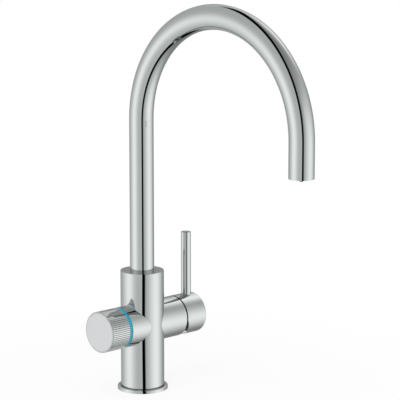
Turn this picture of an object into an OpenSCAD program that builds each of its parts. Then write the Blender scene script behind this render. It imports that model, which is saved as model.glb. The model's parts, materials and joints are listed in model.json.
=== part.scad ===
// Boiling water tap for a worktop: swan-neck spout on a swivel, mixer lever on the right,
// push-and-turn boiling water knob on the left.
// Origin: centre of the flange's underside. +Z up, spout towards -Y, mixer towards +X.

/* [Body] */
// Diameter of the upright body
body_d = 45; // [43:0.5:50]
// Height of the body's flat top above the worktop
body_h = 125.2; // [120:0.2:140]
// Rounding of the body's top edge
body_edge_r = 0.4; // [0.2:0.1:1]
// Depth of both branches' axis below the body's flat top
branch_drop = 56; // [53:0.2:60]
// Diameter of both branches
branch_d = 42.4; // [41.6:0.2:44]
// Body axis to the end of the knob branch
knob_branch_l = 32.2; // [31:0.1:35]
// Body axis to the end of the mixer branch
mixer_branch_l = 44; // [43.5:0.1:48]

/* [Flange and foot] */
// Diameter of the flange
flange_d = 52.2; // [51:0.2:60]
// Height of the flange
flange_h = 3.8; // [3.4:0.1:6]
// Rounding of the flange's upper edge
flange_edge_r = 1.2; // [0.4:0.1:1.5]
// Depth to which the body sits in the flange
flange_seat_depth = 0.9; // [0.5:0.1:1.2]
// Width of the groove round the body in the flange
flange_groove_w = 0.8; // [0.4:0.1:1.2]
// Diameter of the body's spigot in the flange
spigot_d = 41; // [40.4:0.1:42]
// Thickness of the seal under the flange
deck_seal_t = 1.45; // [1.2:0.05:1.6]
// Width of the seal under the flange
deck_seal_w = 2.4; // [1.6:0.1:2.8]
// Diameter of the block with the inlets
block_d = 35.8; // [35:0.1:36.6]
// Height of the block with the inlets
block_h = 14; // [13:0.5:18]
// Distance of the inlets and the stud hole from the body axis
inlet_offset = 10.5; // [10:0.1:11]
// Diameter of the threaded hose inlets
inlet_d = 10; // [9:0.5:10.5]
// Depth of the threaded hose inlets
inlet_depth = 11; // [9:0.5:12]
// Diameter of the threaded hole for the fixing stud
stud_d = 8; // [6:0.5:9]
// Depth of the threaded hole for the fixing stud
stud_depth = 12; // [10:0.5:12.5]

/* [Spout] */
// Outer diameter of the spout tube
tube_d = 25; // [24.4:0.1:26]
// Wall of the spout tube
tube_wall = 1.25; // [1:0.05:1.5]
// Distance from the body axis to the outlet's axis
reach = 221.2; // [200:0.2:240]
// Height at which the arc of the spout begins
arc_z = 281.9; // [270:0.1:300]
// Height of the outlet's lower edge
outlet_z = 247.3; // [235:0.1:255]
// Swivel to each side of the middle
swivel_angle = 75; // [40:1:90]
// Length of the spout foot's stepped part below the tube
foot_l = 17; // [16.5:0.1:19]
// Length of the spout foot's spigot inside the tube
foot_spigot_l = 7; // [5:0.5:9]
// Bore of the spout foot
foot_bore_d = 17.2; // [15:0.2:17.6]
// Height of the glide rings
glide_h = 3; // [2.4:0.1:3.2]
// Thickness of the glide rings
glide_t = 1.3; // [1:0.05:1.4]
// Thickness of the O-rings on the spout foot
spout_ring_t = 1.8; // [1.5:0.05:1.9]
// Diameter of the stop screw's thread
stop_screw_d = 5; // [4:0.5:6]
// Diameter of the stop screw's tip
stop_tip_d = 3; // [2.4:0.1:3.2]

/* [Boiling water tube and outlet] */
// Outer diameter of the inner tube
inner_tube_d = 8; // [7:0.1:8.4]
// Wall of the inner tube
inner_tube_wall = 1; // [0.6:0.1:1.4]
// Depth to which the inner tube goes into its socket
socket_depth = 10; // [9:0.5:11]
// Outer diameter of the nozzle's tip
nozzle_tip_d = 3.6; // [3.2:0.1:5.6]
// Length of the nozzle's tip below the spout
nozzle_drop = 2.65; // [2:0.05:6]
// Bore of the nozzle
nozzle_bore_d = 2.2; // [1.8:0.1:2.4]
// Diameter of the nozzle inside the flow straightener
nozzle_body_d = 7; // [6.4:0.1:7.6]
// Height of the aerator housing
aerator_h = 13.5; // [12:0.5:16]
// Wall of the aerator housing
aerator_wall = 1.2; // [0.9:0.1:1.4]
// Depth of the aerator housing inside the spout's end
aerator_recess = 1.5; // [1:0.1:3]
// Number of vanes in the flow straightener
vane_count = 18; // [12:1:22]

/* [Mixer cap and lever] */
// Gap between the mixer branch and the cap
cap_gap = 1.2; // [0.9:0.05:1.6]
// Length of the mixer cap
cap_l = 27.3; // [26.3:0.1:30]
// Wall of the cap's skirt
cap_wall = 2.9; // [2.4:0.1:3.2]
// Depth of the cap's hollow
cap_hollow_l = 11.5; // [11:0.1:12.5]
// Rounding of the rod's top edge
rod_edge_r = 0.5; // [0.2:0.1:1]
// Rounding of the cap's outer edge
cap_edge_r = 1.2; // [0.4:0.1:2.5]
// Slope of the cap's edge in the lower half
relief_angle = 18.5; // [18.2:0.1:20]
// Lever travel from closed to fully open
lever_tilt = 18; // [10:0.5:18]
// Lever travel to hot and to cold
lever_turn = 45; // [30:1:60]
// Diameter of the lever rod
rod_d = 10.5; // [8:0.1:11.5]
// Height of the lever rod's top above the branch axis
rod_h = 87.6; // [70:0.2:110]
// Distance of the rod's axis from the cap's outer end
rod_inset = 9.6; // [8.8:0.1:10.2]
// Side of the spindle's square
spindle_w = 7.5; // [6.5:0.1:7.8]

/* [Mixer cartridge] */
// Diameter of the cartridge
cartridge_d = 35; // [34.6:0.1:35.6]
// Wall of the cartridge housing
cartridge_wall = 2.3; // [2:0.1:2.4]
// Length of the cartridge housing
cartridge_l = 30; // [29.8:0.1:31]
// Thickness of the cartridge base
cartridge_base_t = 3.7; // [3.2:0.1:4]
// Thickness of the cartridge nut
cartridge_nut_t = 3.8; // [3:0.1:4.2]
// Thickness of each ceramic disc of the mixer
mixer_disc_t = 3.45; // [3:0.05:3.6]
// Diameter of the ports through the cartridge
port_d = 4.6; // [4:0.1:4.8]
// Depth of the lever pivot behind the mixer branch's end
pivot_depth = 10.1; // [9.9:0.1:10.6]
// Diameter of the pivot pin
pivot_d = 4; // [3:0.1:4.4]
// Lever pivot to the middle of the ball that drives the disc
tail_l = 11.4; // [11:0.1:11.8]
// Diameter of the ball that drives the disc
tail_ball_d = 5.8; // [5:0.1:6]

/* [Boiling water knob] */
// Width of the coloured ring that shows
ring_w = 3.75; // [3:0.05:6]
// Depth of the coloured ring below the branch's surface
ring_recess = 0.45; // [0.2:0.05:0.6]
// Gap between the coloured ring and the knob
knob_gap = 0.3; // [0.25:0.05:0.6]
// Diameter over the knob's ribs
knob_d = 42.3; // [42:0.1:44]
// Length of the knob
knob_l = 23.55; // [22.6:0.05:28]
// Chamfer of the knob's outer edge
knob_chamfer = 0.6; // [0.3:0.1:0.7]
// Number of ribs round the knob
rib_count = 64; // [40:1:80]
// Depth of the grooves between the ribs
rib_depth = 0.45; // [0.2:0.05:0.5]
// Width of the grooves between the ribs
rib_groove_w = 1; // [0.6:0.05:1.4]
// Turn of the knob from closed to open
knob_turn = 90; // [45:5:90]
// Diameter of the safety button
button_d = 39.2; // [38.4:0.1:39.3]
// Thickness of the safety button
button_t = 2.5; // [2:0.1:2.7]
// Rounding of the safety button's edge
button_edge_r = 0.1; // [0.05:0.05:0.4]
// Gap round the safety button
button_gap = 0.1; // [0.08:0.01:0.2]
// Travel of the safety button
button_travel = 2.5; // [1:0.1:2.6]
// Thickness of the knob core's plate
core_plate_t = 3; // [2.4:0.1:3.2]
// Diameter of the spring's wire
spring_wire_d = 1.1; // [0.8:0.05:1.15]
// Number of turns of the spring
spring_turns = 5; // [4:0.5:5]

/* [Boiling water valve] */
// Diameter of the valve body
valve_d = 25.9; // [25:0.1:27]
// Length of the valve body up to its collar
valve_l = 15.8; // [15.6:0.1:16.4]
// Thickness of each ceramic disc of the valve
valve_disc_t = 2.95; // [2.6:0.05:3]
// Diameter of the ceramic discs of the valve
valve_disc_d = 18; // [16:0.1:18.6]
// Diameter of the valve spindle
valve_spindle_d = 7.86; // [7.2:0.02:8.2]
// Diameter of the valve nut
valve_nut_d = 32; // [31:0.1:33]
// Thickness of the valve nut
valve_nut_t = 5; // [4:0.1:5.2]

/* [Clearances] */
// Gap between pieces that are fixed together
fit_gap = 0.05; // [0.03:0.01:0.08]
// Radial gap of pieces that turn or slide in each other
running_gap = 0.06; // [0.03:0.01:0.09]
// Gap between pieces that move past each other
free_gap = 0.3; // [0.25:0.01:0.35]

/* [Hidden] */
$fn = 96;
chrome = [0.80, 0.82, 0.83];
brass = [0.78, 0.62, 0.35];
steel = [0.66, 0.67, 0.69];
rubber = [0.10, 0.10, 0.11];
black_plastic = [0.07, 0.07, 0.08];
white_plastic = [0.90, 0.90, 0.88];
grey_plastic = [0.55, 0.56, 0.58];
ceramic = [0.93, 0.92, 0.88];
teal = [0.10, 0.60, 0.72];
over = 1; // how far a cut runs past the face it opens, and a boss into what carries it
groove_room = 0.1; // room in a groove on each side of the ring that lies in it
seal_gap = 0.02; // gap between a seal and the wall that it seals

// Flange and foot
branch_z = body_h - branch_drop;
seat_z = flange_h - flange_seat_depth;
seal_groove_w = deck_seal_w + 2 * groove_room;
seal_inset = 0.2;
seal_r = (spigot_d / 2 + flange_d / 2) / 2 - seal_inset;
flange_ring_t = 1;
flange_ring_z = seat_z / 2;
flange_groove_h = flange_ring_t + 2 * groove_room;
block_ring_t = 1.1;
block_ring_drop = 3.8;
block_ring_z = block_h - block_ring_drop;
block_groove_h = block_ring_t + 2 * groove_room;
block_bore_r = block_d / 2 + fit_gap;
block_top_gap = 0.1;
channel_r = 2.3;
channel_x = 1.9;
block_channel_shift = 1.6;

// Mixer stack, measured from the body axis along the branch
cartridge_r = cartridge_d / 2;
mixer_bore_r = cartridge_r + fit_gap;
nut_bore_step = 1.1;
nut_bore_r = cartridge_r + nut_bore_step;
nut_bore_in = 5;
nut_sink = 0.2;
nut_out_s = mixer_branch_l - nut_sink;
nut_in_s = nut_out_s - cartridge_nut_t;
housing_in_s = nut_in_s - fit_gap - cartridge_l;
base_in_s = housing_in_s - cartridge_base_t;
base_gap = 0.3;
mixer_seat_s = base_in_s - base_gap;
housing_r = cartridge_r - cartridge_wall;
housing_lip_t = 2;
housing_lip_r = 12.3;
fixed_disc_s = housing_in_s + fit_gap;
moving_disc_s = fixed_disc_s + mixer_disc_t;
carrier_s = moving_disc_s + mixer_disc_t;
pivot_s = mixer_branch_l - pivot_depth;
ball_s = pivot_s - tail_l;
carrier_past_ball = 1.4;
carrier_end_s = ball_s + carrier_past_ball;
ball_room = 0.4;
carrier_hole_s = ball_s - tail_ball_d / 2 - free_gap;
rotor_gap = 0.8;
rotor_in_s = carrier_end_s + rotor_gap;
rotor_end_gap = 0.1;
rotor_out_s = nut_in_s - fit_gap - housing_lip_t - rotor_end_gap;
rotor_r = housing_r - free_gap;
rotor_slot_w = 19;
turn_stop_depth = 1;
turn_stop_h = 3;
turn_stop_angle = 8; // half the angle that the stop on the rotor takes up
turn_recess_angle = lever_turn + turn_stop_angle + asin(free_gap / housing_r);
disc_slide = tail_l * lever_tilt * PI / 180;
disc_half_w = 9.6;
disc_shift = 0.25;
disc_offset = disc_slide / 2 + disc_shift;
disc_end_gap = 0.9;
disc_r = housing_r - disc_slide / 2 - disc_end_gap;
disc_side_gap = 0.15;
disc_rim = 1.6;
port_x = 6.5;
port_y = 7.2;
inlet_slot_x = port_x + port_d / 2 + 0.2;
inlet_slot_w = 2;
inlet_slot_l = 14;
outlet_slot_x = -port_x - port_d / 2 + 0.5;
outlet_slot_w = 6.5;
carrier_pocket_l = inlet_slot_x + inlet_slot_w - outlet_slot_x;
carrier_pocket_w = 13;
carrier_pocket_depth = 1.6;
seal_ring_t = 1.1;
seal_land = 0.8;
port_seat_r = port_d / 2 + seal_land + seal_ring_t / 2 + fit_gap;
pin_gap = 0.02;
pin_inset = 2;
pivot_block_w = 8.8;
pivot_block_l = 8;
pivot_block_in = 4.5;
spindle_side_gap = 0.4;
tail_neck_step = 1;

// Cap, dome and lever
cap_in_s = mixer_branch_l + cap_gap;
cap_out_s = cap_in_s + cap_l;
cap_hollow_r = branch_d / 2 - cap_wall;
cap_hollow_end_s = cap_in_s + cap_hollow_l;
cap_end_wall = 5.3;
socket_end_s = cap_out_s - cap_end_wall;
socket_end_gap = 0.4;
socket_side_gap = 0.1;
rod_s = cap_out_s - rod_inset;
rod_seat_x = 11;
rod_stud_d = 6;
rod_stud_x = spindle_w / 2 + 1.3;
dome_gap = 0.5;
dome_r = cap_hollow_r - dome_gap;
dome_wall = 1.5;
dome_hole_r = 10.4;
dome_flange_t = 0.4;
grub_d = 5;
grub_l = 8;
grub_hex_w = 2.9;
grub_hex_depth = 2.5;
grub_s = (cap_hollow_end_s + socket_end_s) / 2;
plug_d = 6;
plug_t = 2.2;
plug_sink = 0.25;

// Spout bore in the body
top_bore_r = tube_d / 2 + running_gap;
bridge_t = 7.2; // metal between the mixer bore and the spout bore
top_bore_z = branch_z + mixer_bore_r + bridge_t;
foot_floor_gap = 1.2;
foot_z = top_bore_z + foot_floor_gap;
tube_z = foot_z + foot_l;
foot_ring_r = tube_d / 2 - spout_ring_t - seal_gap;
glide_groove_r = tube_d / 2 - glide_t;
glide_proud = 0.01;
glide_cut_w = 2;
ring_groove_h = spout_ring_t + 2 * groove_room;
foot_land = 1.3;
lower_glide_z = foot_z + foot_land;
foot_ring_z = [
    lower_glide_z + glide_h + foot_land,
    lower_glide_z + glide_h + 2 * foot_land + ring_groove_h
];
stop_drop = 2.8;
stop_z = tube_z - stop_drop;
stop_slot_h = stop_tip_d + 2 * free_gap;
stop_slot_depth = 2;
stop_slot_r = tube_d / 2 - stop_slot_depth;
stop_tip_gap = 0.6;
stop_tip_r = stop_slot_r + stop_tip_gap;
stop_tip_l = 2.4;
stop_screw_sink = 1.1;
stop_head_r = body_d / 2 - stop_screw_sink;
stop_hex_depth = 2.3;
stop_slot_angle = swivel_angle + asin((stop_tip_d / 2 + free_gap) / stop_tip_r);
upper_glide_drop = 4;
upper_glide_z = body_h - upper_glide_drop - glide_h;
arc_r = reach / 2;
tube_bore_r = tube_d / 2 - tube_wall;

// Boiling water tube and outlet
socket_r = inner_tube_d / 2 + running_gap;
inner_tube_z = top_bore_z - socket_depth;
socket_ring_t = 1.2;
socket_ring_drop = 4.8;
socket_ring_z = top_bore_z - socket_ring_drop;
socket_groove_h = socket_ring_t + 2 * groove_room;
socket_relief = 2;
aerator_z = outlet_z + aerator_recess;
aerator_r = tube_bore_r - fit_gap;
insert_r = aerator_r - aerator_wall - fit_gap;
lip_h = 1;
lip_w = 0.9;
straightener_z = aerator_z + lip_h + fit_gap;
straightener_h = 6.4;
screen_z = straightener_z + straightener_h;
screen_t = 0.5;
vane_hub_w = 1.4;
vane_rim_w = 1.2;
vane_slot_l = insert_r - nozzle_body_d / 2 - vane_hub_w - vane_rim_w;
vane_slot_w = 1;
screen_slot_w = 0.7;
aerator_seal_w = 1.8;
aerator_seal_t = 1.5;
nozzle_cup_gap = 0.5;
nozzle_cup_z = aerator_z + aerator_h + nozzle_cup_gap;
nozzle_cup_h = 8;
nozzle_cup_wall = 1.2;
nozzle_cup_floor = 1.5;
nozzle_chamfer = 0.3;
inner_tube_end_z = nozzle_cup_z + nozzle_cup_floor;

// Knob, ring and button, measured from the body axis along the branch
ring_in_s = knob_branch_l;
ring_out_s = ring_in_s + ring_w;
ring_r = branch_d / 2 - ring_recess;
ring_bore_r = valve_nut_d / 2 + free_gap;
ring_spigot_r = 18.6;
ring_spigot_l = 2.6;
ring_spigot_gap = 0.1;
ring_lip_r = 18.1;
ring_lip_l = 2.5;
knob_in_s = ring_out_s + knob_gap;
knob_out_s = knob_in_s + knob_l;
button_s = knob_out_s - button_t;
button_bore_r = button_d / 2 + button_gap;
screw_head_r = 3.6;
screw_head_h = 2.3;
screw_head_gap = 0.5;
screw_hex_w = 3;
screw_hex_depth = 1.5;
core_out_s = button_s - button_travel - screw_head_h - screw_head_gap;
core_in_s = core_out_s - core_plate_t;
sleeve_shoulder_s = core_in_s - fit_gap;
sleeve_gap = 0.6;
sleeve_bore_r = ring_lip_r + sleeve_gap;
hub_r = 9.5;
hub_in_gap = 0.8;
hub_in_s = knob_in_s + hub_in_gap;
spindle_grip_l = 9;
spindle_end_s = hub_in_s + spindle_grip_l;
spindle_end_gap = 0.2;
spindle_flat = 1;
flat_lead = 0.5;
screw_bore_lead = 1;
screw_lead = 2;
core_post_r = 13;
button_leg_d = 3.2;
button_catch_d = 4.2;
button_catch_l = 1.7;
button_catch_gap = 0.2;
knob_screw_d = 4;
spring_pocket_depth = 3.4;
spring_seat_s = core_out_s - spring_pocket_depth;
spring_r = 6.2;
spring_pocket_out = 1.4;
spring_pocket_in = 1.2;
spring_guide_out = 2.1;
spring_guide_in = 1;
spring_guide_l = 1.5;
rib_over = 0.1;

// Boiling water valve, measured from the body axis along the branch
collar_t = 2;
valve_nut_sink = 0.6;
valve_out_s = knob_branch_l - ring_spigot_l - fit_gap - valve_nut_t - collar_t - valve_nut_sink;
valve_in_s = valve_out_s - valve_l;
valve_seat_gap = 0.2;
valve_seat_s = valve_in_s - valve_seat_gap;
collar_step = 1;
collar_r = valve_nut_d / 2 - collar_step;
neck_r = 9;
neck_past = 0.8;
neck_out_s = knob_branch_l + neck_past;
nut_neck_gap = 0.2;
nut_hole_d = 3;
nut_hole_depth = 2.5;
nut_hole_r = (neck_r + valve_nut_d / 2) / 2;
valve_bore_gap = 0.1;
valve_bore_r = valve_disc_d / 2 + valve_bore_gap;
valve_port_rim = 2;
valve_port_hub_r = 1.5;
valve_port_web = 1.2;
seat_seal_t = 2;
valve_fixed_disc_s = valve_seat_s + seat_seal_t + fit_gap;
valve_moving_disc_s = valve_fixed_disc_s + valve_disc_t;
driver_s = valve_moving_disc_s + valve_disc_t + fit_gap;
driver_t = 2.8;
driver_w = 6;
driver_side_gap = 0.2;
driver_end_gap = 0.2;
window_w = 8;
seat_seal_inset = 0.6;
seat_seal_w = 3.4;
chamber_depth = 2;
chamber_r = valve_d / 2 + chamber_depth;
chamber_in = 3;
chamber_out = 4.6;
valve_ring_t = 1.4;
valve_ring_drop = 2.2;
valve_ring_s = valve_out_s - valve_ring_drop;
valve_groove_h = valve_ring_t + 2 * groove_room;
spindle_ring_t = 1;
spindle_ring_past = 4;
spindle_ring_s = valve_out_s + spindle_ring_past;
spindle_groove_h = spindle_ring_t + 2 * groove_room;

// Shapes used by many pieces

// On the mixer branch: +Z runs outwards along +X, +X runs down
module on_mixer_axis(s = 0) {
    translate([0, 0, branch_z]) rotate([0, 90, 0]) translate([0, 0, s]) children();
}

// On the knob branch: +Z runs outwards along -X, +X runs up
module on_knob_axis(s = 0) {
    translate([0, 0, branch_z]) rotate([0, -90, 0]) translate([0, 0, s]) children();
}

module ring(r_out, r_in, h) {
    difference() {
        cylinder(r = r_out, h = h);
        translate([0, 0, -over]) cylinder(r = r_in, h = h + 2 * over);
    }
}

module o_ring(r_mid, thickness) {
    rotate_extrude() translate([r_mid, 0]) circle(d = thickness, $fn = 32);
}

// A cylinder whose upper edge is rounded
module rounded_disc(r, h, edge_r) {
    rotate_extrude() {
        square([r - edge_r, h]);
        square([r, h - edge_r]);
        translate([r - edge_r, h - edge_r]) intersection() {
            circle(r = edge_r);
            square(edge_r);
        }
    }
}

// A groove of height h in the outside of a round piece, its floor at r_floor and its middle at z
module outer_groove(r_out, r_floor, z, h) {
    translate([0, 0, z - h / 2]) ring(r_out + over, r_floor, h);
}

// A round bar along the centreline of the spout: up the riser, round the arc, down to end_z
module swan_neck(r, start_z, end_z) {
    translate([0, 0, start_z]) cylinder(r = r, h = arc_z - start_z);
    translate([0, -arc_r, arc_z]) rotate([90, 0, 90]) rotate_extrude(angle = 180)
        translate([arc_r, 0]) circle(r = r);
    translate([0, -reach, end_z]) cylinder(r = r, h = arc_z - end_z);
}

// Two opposite quarters of a disc, which are the openings of a quarter-turn valve disc
module opposite_quarters(r_out, r_in, h) {
    for (turn = [0, 180]) rotate(turn) intersection() {
        ring(r_out, r_in, h);
        translate([valve_port_web / 2, valve_port_web / 2, -over]) cube([r_out, r_out, h + 2 * over]);
    }
}

// Places of the cartridge's two inlets and two outlets, in the mixer axis's own frame
module at_inlets() {
    for (side = [-1, 1]) translate([port_x, side * port_y, 0]) children();
}
module at_outlets() {
    for (side = [-1, 1]) translate([-port_x, side * port_y, 0]) children();
}

// Body

module body_casting() color(chrome) difference() {
    union() {
        cylinder(d = spigot_d, h = seat_z + over);
        translate([0, 0, seat_z]) rounded_disc(body_d / 2, body_h - seat_z, body_edge_r);
        on_mixer_axis() cylinder(d = branch_d, h = mixer_branch_l);
        on_knob_axis() cylinder(d = branch_d, h = knob_branch_l);
    }
    // spout bore with the groove of the upper glide ring
    translate([0, 0, top_bore_z]) cylinder(r = top_bore_r, h = body_h - top_bore_z + over);
    translate([0, 0, upper_glide_z - groove_room])
        cylinder(r = top_bore_r + glide_t, h = glide_h + 2 * groove_room);
    // socket of the inner tube with its O-ring groove
    translate([0, 0, inner_tube_z - socket_relief])
        cylinder(r = socket_r, h = top_bore_z - inner_tube_z + socket_relief + over);
    translate([0, 0, socket_ring_z - socket_groove_h / 2])
        cylinder(r = socket_r + socket_ring_t, h = socket_groove_h);
    translate([0, 0, branch_z]) cylinder(r = channel_r, h = inner_tube_z - branch_z);
    // seats in the branches
    on_mixer_axis(mixer_seat_s) cylinder(r = mixer_bore_r, h = mixer_branch_l);
    on_mixer_axis(nut_in_s - nut_bore_in) cylinder(r = nut_bore_r, h = mixer_branch_l);
    on_knob_axis(valve_seat_s) cylinder(d = valve_d + 2 * fit_gap, h = knob_branch_l);
    on_knob_axis(valve_seat_s + chamber_in) cylinder(r = chamber_r, h = valve_l - chamber_in - chamber_out);
    on_knob_axis(valve_out_s - fit_gap) cylinder(d = valve_nut_d + 2 * fit_gap, h = knob_branch_l);
    on_knob_axis(knob_branch_l - ring_spigot_l - ring_spigot_gap)
        cylinder(r = ring_spigot_r + fit_gap, h = knob_branch_l);
    // seat of the inlet block
    translate([0, 0, -over]) cylinder(r = block_bore_r, h = block_h + over + block_top_gap);
    outer_groove(spigot_d / 2, spigot_d / 2 - flange_ring_t - groove_room, flange_ring_z, flange_groove_h);
    // hot and cold water up to the cartridge's inlets, mixed water up to the spout bore
    for (side = [-1, 1]) {
        translate([-channel_x, side * port_y, block_h])
            cylinder(r = channel_r, h = branch_z - port_x - block_h);
        translate([-channel_x, side * port_y, branch_z - port_x]) rotate([0, 90, 0])
            cylinder(r = channel_r, h = mixer_seat_s + channel_x + over);
        translate([channel_x, side * port_y, branch_z + port_x])
            cylinder(r = channel_r, h = top_bore_z + over - branch_z - port_x);
        translate([channel_x, side * port_y, branch_z + port_x]) rotate([0, 90, 0])
            cylinder(r = channel_r, h = mixer_seat_s - channel_x + over);
    }
    // boiling water up to the valve and across to the inner tube's socket
    translate([-inlet_offset, 0, block_h]) cylinder(r = channel_r, h = branch_z - valve_d / 2 - block_h);
    on_knob_axis() cylinder(r = channel_r, h = valve_seat_s + over);
    // hole of the stop screw
    translate([0, tube_d / 2 - over, stop_z]) rotate([-90, 0, 0]) cylinder(d = stop_screw_d, h = body_d);
}

module base_flange() color(chrome) difference() {
    rounded_disc(flange_d / 2, flange_h, flange_edge_r);
    translate([0, 0, -over]) cylinder(r = spigot_d / 2 + fit_gap, h = flange_h + 2 * over);
    translate([0, 0, seat_z]) cylinder(r = body_d / 2 + flange_groove_w, h = flange_h);
    translate([0, 0, -over])
        ring(seal_r + seal_groove_w / 2, seal_r - seal_groove_w / 2, deck_seal_t + fit_gap + over);
}

module deck_seal() color(rubber)
    ring(seal_r + deck_seal_w / 2, seal_r - deck_seal_w / 2, deck_seal_t);

module flange_o_ring() color(rubber) translate([0, 0, flange_ring_z])
    o_ring(spigot_d / 2 - flange_ring_t / 2 - seal_gap, flange_ring_t);

module inlet_block() color(brass) difference() {
    cylinder(d = block_d, h = block_h);
    for (turn = [90, 180, 270]) rotate(turn) translate([inlet_offset, 0, 0]) {
        translate([0, 0, -over]) cylinder(d = inlet_d, h = inlet_depth + over);
        translate([-block_channel_shift, 0, inlet_depth - over])
            cylinder(r = channel_r, h = block_h - inlet_depth + 2 * over);
    }
    translate([inlet_offset, 0, -over]) cylinder(d = stud_d, h = stud_depth + over);
    outer_groove(block_d / 2, block_d / 2 - block_ring_t - groove_room, block_ring_z, block_groove_h);
}

module inlet_block_o_ring() color(rubber) translate([0, 0, block_ring_z])
    o_ring(block_d / 2 - block_ring_t / 2 - seal_gap, block_ring_t);

module boiling_socket_o_ring() color(rubber) translate([0, 0, socket_ring_z])
    o_ring(socket_r + socket_ring_t / 2, socket_ring_t - 2 * seal_gap);

module upper_glide_ring() color(white_plastic) translate([0, 0, upper_glide_z]) difference() {
    ring(top_bore_r + glide_t - fit_gap, top_bore_r - glide_proud, glide_h);
    translate([0, -glide_cut_w / 2, -over]) cube([body_d, glide_cut_w, glide_h + 2 * over]);
}

module swivel_stop_screw() color(steel) translate([0, 0, stop_z]) rotate([-90, 0, 0]) difference() {
    union() {
        translate([0, 0, stop_tip_r]) cylinder(d = stop_tip_d, h = stop_tip_l);
        translate([0, 0, top_bore_r + free_gap])
            cylinder(d = stop_screw_d - 2 * fit_gap, h = stop_head_r - top_bore_r - free_gap);
    }
    translate([0, 0, stop_head_r - stop_hex_depth])
        cylinder(d = stop_screw_d / 2, h = stop_hex_depth + over, $fn = 6);
}

// Spout

module spout_tube() color(chrome) difference() {
    swan_neck(tube_d / 2, tube_z, outlet_z);
    swan_neck(tube_bore_r, tube_z - over, outlet_z - over);
}

module spout_foot() color(brass) difference() {
    union() {
        translate([0, 0, foot_z]) cylinder(d = tube_d, h = foot_l - fit_gap);
        translate([0, 0, foot_z]) cylinder(r = tube_bore_r - fit_gap, h = foot_l + foot_spigot_l);
    }
    translate([0, 0, foot_z - over]) cylinder(d = foot_bore_d, h = foot_l + foot_spigot_l + 2 * over);
    outer_groove(tube_d / 2, glide_groove_r, lower_glide_z + glide_h / 2, glide_h + 2 * groove_room);
    for (z = foot_ring_z) outer_groove(tube_d / 2, foot_ring_r, z + ring_groove_h / 2, ring_groove_h);
    translate([0, 0, stop_z - stop_slot_h / 2])
        rotate_extrude(angle = 2 * stop_slot_angle, start = 90 - stop_slot_angle)
            translate([stop_slot_r, 0]) square([tube_d, stop_slot_h]);
}

module lower_glide_ring() color(white_plastic) translate([0, 0, lower_glide_z]) difference() {
    ring(tube_d / 2 + glide_proud, glide_groove_r + fit_gap, glide_h);
    translate([0, -glide_cut_w / 2, -over]) cube([body_d, glide_cut_w, glide_h + 2 * over]);
}

module spout_o_rings() color(rubber) for (z = foot_ring_z) translate([0, 0, z + ring_groove_h / 2])
    o_ring(foot_ring_r + spout_ring_t / 2 + seal_gap, spout_ring_t);

module boiling_tube() color(steel) difference() {
    swan_neck(inner_tube_d / 2, inner_tube_z, inner_tube_end_z);
    swan_neck(inner_tube_d / 2 - inner_tube_wall, inner_tube_z - over, inner_tube_end_z - over);
}

module boiling_nozzle() color(steel) translate([0, -reach, 0]) difference() {
    union() {
        translate([0, 0, outlet_z - nozzle_drop])
            cylinder(d1 = nozzle_tip_d - 2 * nozzle_chamfer, d2 = nozzle_tip_d, h = nozzle_chamfer);
        translate([0, 0, outlet_z - nozzle_drop + nozzle_chamfer])
            cylinder(d = nozzle_tip_d, h = nozzle_drop + aerator_recess);
        translate([0, 0, aerator_z]) cylinder(d = nozzle_body_d, h = nozzle_cup_z - aerator_z + over);
        translate([0, 0, nozzle_cup_z]) cylinder(r = inner_tube_d / 2 + nozzle_cup_wall, h = nozzle_cup_h);
    }
    translate([0, 0, outlet_z - nozzle_drop - over]) cylinder(d = nozzle_bore_d, h = nozzle_cup_z);
    translate([0, 0, inner_tube_end_z - fit_gap])
        cylinder(r = inner_tube_d / 2 + fit_gap, h = nozzle_cup_z);
}

module aerator_housing() color(black_plastic) translate([0, -reach, aerator_z]) difference() {
    cylinder(r = aerator_r, h = aerator_h);
    translate([0, 0, -over]) cylinder(r = insert_r - lip_w, h = aerator_h);
    translate([0, 0, lip_h]) cylinder(r = aerator_r - aerator_wall, h = aerator_h);
}

module flow_straightener() color(white_plastic) translate([0, -reach, straightener_z]) difference() {
    cylinder(r = insert_r, h = straightener_h);
    translate([0, 0, -over]) cylinder(r = nozzle_body_d / 2 + fit_gap, h = straightener_h + 2 * over);
    for (i = [0 : vane_count - 1]) rotate(i * 360 / vane_count)
        translate([nozzle_body_d / 2 + vane_hub_w, -vane_slot_w / 2, -over])
            cube([vane_slot_l, vane_slot_w, straightener_h + 2 * over]);
}

module aerator_screen() color(steel) translate([0, -reach, screen_z]) difference() {
    cylinder(r = insert_r, h = screen_t);
    translate([0, 0, -over]) cylinder(r = nozzle_body_d / 2 + 2 * fit_gap, h = screen_t + 2 * over);
    for (i = [0 : vane_count - 1]) rotate((i + 0.5) * 360 / vane_count)
        translate([nozzle_body_d / 2 + vane_hub_w, -screen_slot_w / 2, -over])
            cube([vane_slot_l, screen_slot_w, screen_t + 2 * over]);
}

module aerator_seal() color(rubber) translate([0, -reach, screen_z + screen_t])
    ring(insert_r, insert_r - aerator_seal_w, aerator_seal_t);

// Mixer cartridge

module cartridge_seals() color(rubber) on_mixer_axis(mixer_seat_s + seal_ring_t / 2 + seal_gap) {
    at_inlets() o_ring(port_d / 2 + seal_land, seal_ring_t);
    at_outlets() o_ring(port_d / 2 + seal_land, seal_ring_t);
}

// A port through the cartridge base with the seat of its seal
module base_port() {
    translate([0, 0, -over]) cylinder(d = port_d, h = cartridge_base_t + 2 * over);
    translate([0, 0, -over])
        cylinder(r = port_seat_r, h = over + seal_ring_t - base_gap + groove_room);
}

module cartridge_base() color(white_plastic) on_mixer_axis(base_in_s) difference() {
    cylinder(r = cartridge_r - 2 * fit_gap, h = cartridge_base_t);
    at_inlets() base_port();
    at_outlets() base_port();
}

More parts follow.
